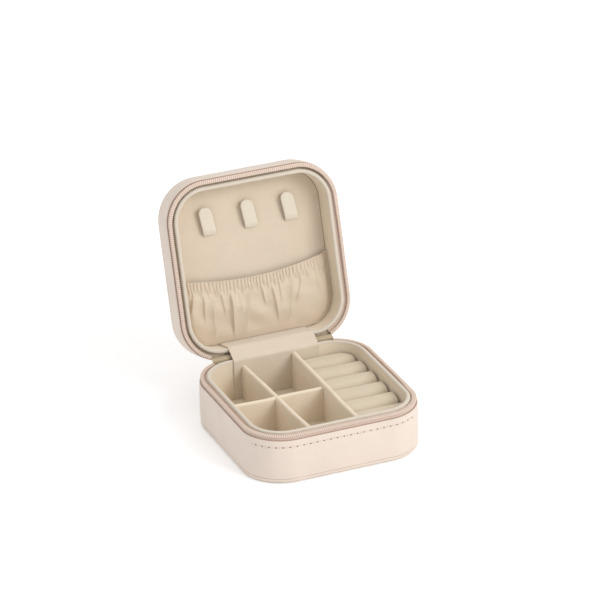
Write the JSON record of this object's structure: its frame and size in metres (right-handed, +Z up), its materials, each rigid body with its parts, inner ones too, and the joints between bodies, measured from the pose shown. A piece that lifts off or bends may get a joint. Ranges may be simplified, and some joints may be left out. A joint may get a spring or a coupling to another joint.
{
  "type": "jewelry box",
  "caption": "Small square travel jewelry box with rounded corners, folded open on a soft spine, with dividers, ring rolls, necklace tabs and a gathered pocket.",
  "frame": {"origin": "centre of the underside of the base, on the surface that it stands on", "axes": "+X to the right seen from the open front, +Y towards the hinge at the back, +Z up"},
  "size_m": [0.1, 0.1427, 0.1225],
  "materials": {
    "leather": "satin, fine pebble grain",
    "board": "grey-brown pressed card",
    "zip_tape": "woven polyester tape",
    "zip_coil": "nylon coil",
    "velvet": "short-pile velvet",
    "satin": "soft satin lining",
    "backing_cloth": "plain weave cloth",
    "zip_metal": "pale gold plated"
  },
  "bodies": {
    "base": {"base_bottom_cover": "leather", "base_side_cover": "leather", "hinge_spine": "leather", "base_bottom_board": "board", "base_wall_board": "board", "base_zip_tape": "zip_tape", "base_zip_coil": "zip_coil", "base_liner_wall": "velvet", "base_floor_pad": "velvet", "hinge_flap": "velvet", "divider_centre": "velvet", "divider_cross": "velvet", "divider_ring": "velvet", "ring_bed": "velvet", "ring_roll_1": "velvet", "ring_roll_2": "velvet", "ring_roll_3": "velvet", "ring_roll_4": "velvet", "ring_roll_5": "velvet", "ring_roll_6": "velvet", "hinge_backing": "backing_cloth", "zip_slider": "zip_metal"},
    "lid": {"lid_top_cover": "leather", "lid_side_cover": "leather", "lid_top_board": "board", "lid_wall_board": "board", "lid_zip_tape": "zip_tape", "lid_zip_coil": "zip_coil", "lid_liner_wall": "velvet", "lid_panel": "velvet", "hook_tab_1": "velvet", "hook_tab_2": "velvet", "hook_tab_3": "velvet", "pocket": "satin"},
    "puller": {"zip_puller": "zip_metal"}
  },
  "joints": [
    {"name": "lid_hinge", "type": "hinge", "parent": "base", "child": "lid", "pos_m": [0, 0.04885, 0.0281], "axis": [1, 0, 0], "range_deg": [0, 106], "deforming": ["hinge_spine", "hinge_backing", "hinge_flap"]},
    {"name": "puller_swing", "type": "hinge", "parent": "base", "child": "puller", "pos_m": [0.0317, 0.0519, 0.0244], "axis": [1, 0, 0], "range_deg": [-3, 70]}
  ]
}
